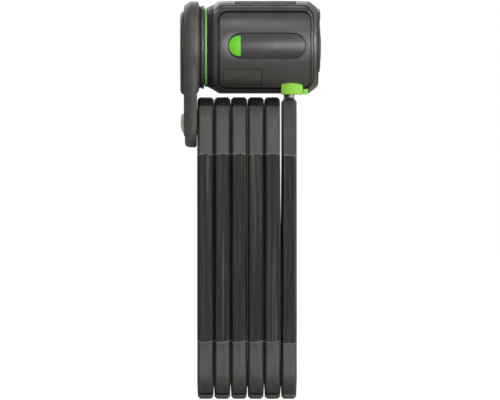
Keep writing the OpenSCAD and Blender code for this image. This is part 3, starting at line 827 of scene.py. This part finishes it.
# %% A cover with a round end
def round_cover(name, half_x, hinge, up):
    """up is 1 when the round end points up: the straight part then goes down."""
    wide = half_x > 4
    straight, lip = (9.45, 15.2) if wide else (6.6, 12.4)
    taper_from, taper_by, taper_over = (7.5, 0.35, 5.0) if up > 0 else (4.0, 0.40, 8.5)
    piece = section_ring(name, half_x, HALF_DEEP, hinge, corner=1.25)
    edit(piece)
    bpy.ops.mesh.select_all(action="SELECT")
    drawn_along(piece, [(-up * 6.0, 1, 1), (-up * straight, 1, 1), (-up * 0.15, 1, 1.012), (-up * 0.3, 1, 1),
                        (-up * 0.2, 0.98, 0.982)])
    bpy.ops.mesh.edge_face_add()
    bpy.ops.mesh.select_all(action="DESELECT")
    done()
    for vertex in piece.data.vertices:
        vertex.select = abs(vertex.co.z - hinge * MM) < 1e-6 and vertex.co.y < 1e-6
    pick(piece)
    bpy.ops.object.mode_set(mode="EDIT")
    bpy.ops.mesh.select_mode(type="VERT")
    bpy.ops.mesh.spin(steps=22, angle=math.pi, center=(0, 0, hinge * MM), axis=(up, 0, 0))
    bpy.ops.mesh.select_all(action="SELECT")
    bpy.ops.mesh.remove_doubles(threshold=0.00001)
    bpy.ops.mesh.select_all(action="SELECT")
    bpy.ops.mesh.normals_make_consistent(inside=False)
    done()
    for vertex in piece.data.vertices:
        past = (vertex.co.z / MM - hinge) * up - taper_from
        if past > 0:
            vertex.co.x *= 1 - taper_by / half_x * (past / taper_over) ** 1.3
        reach = math.hypot(vertex.co.y / MM, vertex.co.z / MM - hinge)
        fuller = min(1, max(0, ((vertex.co.z / MM - hinge) * up - 4.0) / 4.5))
        if fuller > 0 and 9.5 < reach < 12.49:
            grow = (HALF_DEEP - (HALF_DEEP - reach) * (1 - 0.5 * fuller)) / reach
            vertex.co.y *= grow
            vertex.co.z = (hinge + (vertex.co.z / MM - hinge) * grow) * MM
        edge = (hinge - vertex.co.z / MM) * up
        if edge > lip:
            across = abs(vertex.co.x / MM) / half_x
            wave = noise.noise(Vector((vertex.co.x / MM * 0.9 + hinge, vertex.co.y / MM * 0.5, half_x)))
            vertex.co.z -= up * (wave * 0.7 + across ** 3) * MM
    piece = combine(piece, turned("window", [(-8, 6.8), (8, 6.8)], centre=(0, 0, hinge), sides=72))
    soften(piece, 0.14, angle=52, segments=2, smooth=26)
    piece.data.materials.clear()
    for finish in (cover_grey, round_end_painted_shade, lip_painted_highlight, tip_painted_light):
        piece.data.materials.append(finish)
    for face in piece.data.polygons:
        past = (face.center.z / MM - hinge) * up
        # painted shade on the upper round ends
        if past > 8.3 and up > 0:
            face.material_index = 1
        # painted light on the lower tips
        elif past > 10.0 and wide or past > 11.2:
            face.material_index = 3
        # on the wide bars, a thin band of painted shade just above the lower tips
        elif past > 9.4:
            face.material_index = 1 if wide else 0
        # painted highlight on the lip
        elif past < (-15.4 if wide else -12.55):
            face.material_index = 2
    return piece


covers = {(half, up): round_cover("cover", half, TOP if up > 0 else BOTTOM, up) for half, up in
          ((HALF_WIDE, 1), (HALF_WIDE, -1), (HALF_NARROW, -1))}
for key, piece in covers.items():
    low = min(v.co.z for v in piece.data.vertices) / MM
    high = max(v.co.z for v in piece.data.vertices) / MM
    print("cover", key, len(piece.data.polygons), "faces, z", round(low, 2), "to", round(high, 2))

# %% [markdown]
# An upper and a lower cover are copied to each bar and joined. The fifth is set back on its
# right, which leaves the narrow gap to the last bar.

# %% Covers on bars 1 to 5
for k in range(1, 6):
    upper = copied(covers[HALF_WIDE, 1], f"bar_{k}_covers", (bar_x(k), 0, 0))
    if k == 5:
        for vertex in upper.data.vertices:
            if vertex.co.x > (bar_x(5) + 1) * MM:
                vertex.co.x -= 0.35 * MM
    lower = copied(covers[HALF_WIDE, -1], "lower", (bar_x(k), 0, 0))
    pick(upper)
    lower.select_set(True)
    bpy.context.view_layer.objects.active = upper
    bpy.ops.object.join()
    finished(upper, f"bar_{k}", f"bar_{k}_end_covers")

# %% [markdown]
# The last bar has no hinge at its top. Its cover draws in to a shoulder round the bolt. The bar
# rests swung a little to the rear about its lower hinge, so its pieces are made upright and then
# turned about that hinge before they are settled.

# %% The last bar's covers and bolt
REST_SWING = 10.5


def swung_out(piece, settled=True):
    pick(piece)
    hinge = Vector((0, 0, BOTTOM * MM))
    piece.rotation_euler = (math.radians(-REST_SWING), 0, 0)
    bpy.context.view_layer.update()
    piece.location = hinge - piece.matrix_world.to_3x3() @ hinge
    bpy.context.view_layer.update()
    return settle(piece) if settled else piece


shoulder = section_ring("bar_6_covers", HALF_NARROW, HALF_DEEP, -54.7)
edit(shoulder)
bpy.ops.mesh.select_all(action="SELECT")
drawn_along(shoulder, [(0.6, 1, 1), (21.0, 1, 1), (6.5, 0.998, 0.96), (1.8, 0.68, 0.86), (0.3, 0.94, 0.97)])
bpy.ops.mesh.select_all(action="DESELECT")
bpy.ops.mesh.select_non_manifold()
bpy.ops.mesh.fill_holes(sides=0)
bpy.ops.mesh.select_all(action="SELECT")
bpy.ops.mesh.normals_make_consistent(inside=False)
done()
soften(shoulder, 0.2, angle=60, segments=2, smooth=26)
for finish in (cover_grey, round_end_painted_shade, lip_painted_highlight, tip_painted_light):
    shoulder.data.materials.append(finish)
# the lip at the shoulder's lower edge takes the painted highlight
for face in shoulder.data.polygons:
    face.material_index = 2 if face.center.z / MM < -54.2 else 0
for vertex in shoulder.data.vertices:
    if vertex.co.z / MM < -54.0:
        across = abs(vertex.co.x / MM) / HALF_NARROW
        wave = noise.noise(Vector((vertex.co.x / MM * 0.9, vertex.co.y / MM * 0.5, 6)))
        vertex.co.z -= (wave * 0.7 + across ** 3) * MM
lower = copied(covers[HALF_NARROW, -1], "lower")
for vertex in lower.data.vertices:
    if vertex.co.x < -1 * MM:
        vertex.co.x -= 0.3 * MM
pick(shoulder)
lower.select_set(True)
bpy.context.view_layer.objects.active = shoulder
bpy.ops.object.join()
finished(swung_out(shoulder), "bar_6", "bar_6_end_covers")
for piece in covers.values():
    bpy.data.objects.remove(piece)
bolt = turned("bolt", softened(
    [(-35.6, 1.8), (-24.1, 1.8), (-24.1, 2.7), (-17.35, 2.7), (-17.35, 1.75), (-14.95, 1.75),
     (-14.95, 2.7), (-14.2, 2.7), (-13.5, 2.0)], 0.25), axis="Z", sides=72)
soften(bolt, 0, smooth=30)
finished(swung_out(bolt), "bar_6", "locking_bolt", material=bolt_steel)

# %% [markdown]
# The sleeves are soft rubber tubes, stretched over the steel. Their faces aren't quite flat: long
# shallow furrows run along them. One sleeve is extruded in many steps, then copied, and each copy
# is pressed in a little by its own noise, stretched along the bar.

# %% Sleeves
sleeve = section_ring("sleeve", HALF_WIDE, 12.3, -147.9, corner=1.25, cuts=13)
edit(sleeve)
bpy.ops.mesh.select_all(action="SELECT")
drawn_along(sleeve, [(94.8 / 36, 1, 1)] * 36)
bpy.ops.mesh.select_all(action="DESELECT")
bpy.ops.mesh.select_non_manifold()
bpy.ops.mesh.fill_holes(sides=0)
bpy.ops.mesh.select_all(action="SELECT")
bpy.ops.mesh.normals_make_consistent(inside=False)
done()
for k in range(1, 7):
    piece = copied(sleeve, f"bar_{k}_rubber", (bar_x(k), 0, 0))
    for vertex in piece.data.vertices:
        x, y, z = vertex.co / MM
        furrow = noise.noise(Vector((x * 0.9 + 7 * k, y * 0.9, z * 0.035)))
        dent = noise.noise(Vector((x * 0.35, y * 0.35 + 5 * k, z * 0.12)))
        inward = max(0.0, 0.5 + 0.5 * furrow) * 0.13 + max(0.0, dent) * 0.10
        if abs(vertex.normal.y) > 0.5:
            vertex.co -= vertex.normal * inward * MM
    soften(piece, 0, smooth=30)
    if k == 6:
        for vertex in piece.data.vertices:
            high = min(1, max(0, (vertex.co.z / MM + 92) / 38))
            if vertex.co.x < -1 * MM:
                vertex.co.x += 0.31 * high * MM
            elif vertex.co.x > 1 * MM:
                vertex.co.x -= 0.31 * MM
            if vertex.co.z / MM < -147.5:
                vertex.co.z -= 3.0 * MM
        swung_out(piece, settled=False)
    if k == 5:
        for vertex in piece.data.vertices:
            high = min(1, max(0, (vertex.co.z / MM + 92) / 38))
            if vertex.co.x > (bar_x(5) + 1) * MM:
                vertex.co.x -= 0.35 * high * MM
    finished(piece, f"bar_{k}", f"bar_{k}_sleeve", material=sleeve_rubber)
bpy.data.objects.remove(sleeve)

# %% [markdown]
# One rivet holds two bars. It is turned once and copied to the five hinges, by turns at the bottom
# and at the top.

# %% Rivets between the bars
rivet = turned("rivet", softened(
    [(-3.35, 0.4), (-3.35, 2.0), (-3.6, 2.4), (-3.6, 5.7), (-3.3, 6.35), (-2.76, 6.4), (-2.76, 4.0), (11.16, 4.0),
     (11.16, 6.4), (11.65, 6.35), (11.95, 5.7), (11.95, 2.4), (11.7, 2.0), (11.7, 0.4)],
    0.2, keep=(5, 6, 7, 8)), sides=80)
soften(rivet, 0, smooth=32)
for k in range(1, 6):
    piece = copied(rivet, f"pin_{k}_{k + 1}", (bar_x(k), 0, BOTTOM if k % 2 else TOP))
    finished(piece, f"bar_{k}", f"rivet_{k}_{k + 1}", material=rivet_steel)
bpy.data.objects.remove(rivet)

# %% [markdown]
# ## Floor and light
# The lock stands on a plain white floor before a white surround. The floor glows for the camera
# only, so that it looks as white as the surround and throws little light on the lock.

# %% Floor
deselect()
bpy.ops.mesh.primitive_plane_add(size=30, location=(0, 2.0, cad_low.z - 0.0006))
floor = named("floor")
floor_white = bpy.data.materials.new("floor white")
floor_white.use_nodes = True
tree = floor_white.node_tree
tree.nodes.clear()
paper = tree.nodes.new("ShaderNodeBsdfDiffuse")
paper.inputs["Color"].default_value = (0.48, 0.48, 0.465, 1)
glow = tree.nodes.new("ShaderNodeEmission")
glow.inputs["Strength"].default_value = 0.84
seen = tree.nodes.new("ShaderNodeAddShader")
tree.links.new(paper.outputs["BSDF"], seen.inputs[0])
tree.links.new(glow.outputs["Emission"], seen.inputs[1])
ray = tree.nodes.new("ShaderNodeLightPath")
mix = tree.nodes.new("ShaderNodeMixShader")
tree.links.new(ray.outputs["Is Camera Ray"], mix.inputs["Fac"])
tree.links.new(paper.outputs["BSDF"], mix.inputs[1])
tree.links.new(seen.outputs["Shader"], mix.inputs[2])
tree.links.new(mix.outputs["Shader"], tree.nodes.new("ShaderNodeOutputMaterial").inputs["Surface"])
floor.data.materials.append(floor_white)
print("floor at", round(cad_low.z / MM - 0.6, 2), "mm")


# %% [markdown]
# Rectangular lights are soft and leave long, quiet highlights on round dark parts. The front one
# is at the height of the body and to the right, which lights the right half of the arm. The
# surround is white for the camera and darker for the lock, more so on the left, from below and
# from straight above, so the edges fall dark.

# %% Lights
def soft_light(name, place, size, watts, colour=(1, 1, 1)):
    data = bpy.data.lights.new(name, "AREA")
    data.shape = "RECTANGLE"
    data.size, data.size_y = size
    data.energy = watts
    data.color = colour
    light = bpy.data.objects.new(name, data)
    bpy.context.scene.collection.objects.link(light)
    light.location = place
    aim = Vector((-0.02, 0, -0.07)) - Vector(place)
    light.rotation_euler = aim.to_track_quat("-Z", "Y").to_euler()
    return light


soft_light("front", (0.8, -2.3, 0.14), (2.2, 0.9), 42, (1.0, 0.985, 0.96))
soft_light("upper front", (-0.3, -1.0, 1.9), (1.6, 0.5), 9)
soft_light("right", (2.1, -1.1, 0.2), (0.7, 1.4), 36)
soft_light("rear", (-0.6, 2.2, 1.2), (2.0, 1.2), 22)
world = bpy.data.worlds.new("white surround")
world.use_nodes = True
tree = world.node_tree
white = tree.nodes["Background"]
white.inputs["Color"].default_value = (1, 1, 1, 1)
white.inputs["Strength"].default_value = 1.0
direction = tree.nodes.new("ShaderNodeTexCoord")
parts = tree.nodes.new("ShaderNodeSeparateXYZ")
height = tree.nodes.new("ShaderNodeMapRange")
height.inputs["From Min"].default_value = -1.0
studio = tree.nodes.new("ShaderNodeValToRGB")
studio.color_ramp.elements[0].position = 0.40
studio.color_ramp.elements[0].color = (0.16, 0.16, 0.16, 1)
studio.color_ramp.elements[1].position = 0.97
studio.color_ramp.elements[1].color = (0.12, 0.12, 0.12, 1)
for place, level in ((0.50, 0.55), (0.82, 0.60)):
    studio.color_ramp.elements.new(place).color = (level, level, level, 1)
room = tree.nodes.new("ShaderNodeBackground")
ray = tree.nodes.new("ShaderNodeLightPath")
mix = tree.nodes.new("ShaderNodeMixShader")
tree.links.new(direction.outputs["Generated"], parts.inputs["Vector"])
tree.links.new(parts.outputs["Z"], height.inputs["Value"])
tree.links.new(height.outputs["Result"], studio.inputs["Fac"])
tree.links.new(studio.outputs["Color"], room.inputs["Color"])
side = tree.nodes.new("ShaderNodeMapRange")
side.inputs["From Min"].default_value = -1.0
side.inputs["From Max"].default_value = 0.4
side.inputs["To Min"].default_value = 0.6
side.inputs["To Max"].default_value = 1.1
tree.links.new(parts.outputs["X"], side.inputs["Value"])
tree.links.new(side.outputs["Result"], room.inputs["Strength"])
tree.links.new(ray.outputs["Is Camera Ray"], mix.inputs["Fac"])
tree.links.new(room.outputs["Background"], mix.inputs[1])
tree.links.new(white.outputs["Background"], mix.inputs[2])
tree.links.new(mix.outputs["Shader"], tree.nodes["World Output"].inputs["Surface"])
bpy.context.scene.world = world
bpy.context.scene.view_settings.view_transform = "Standard"
bpy.context.scene.view_settings.look = "None"
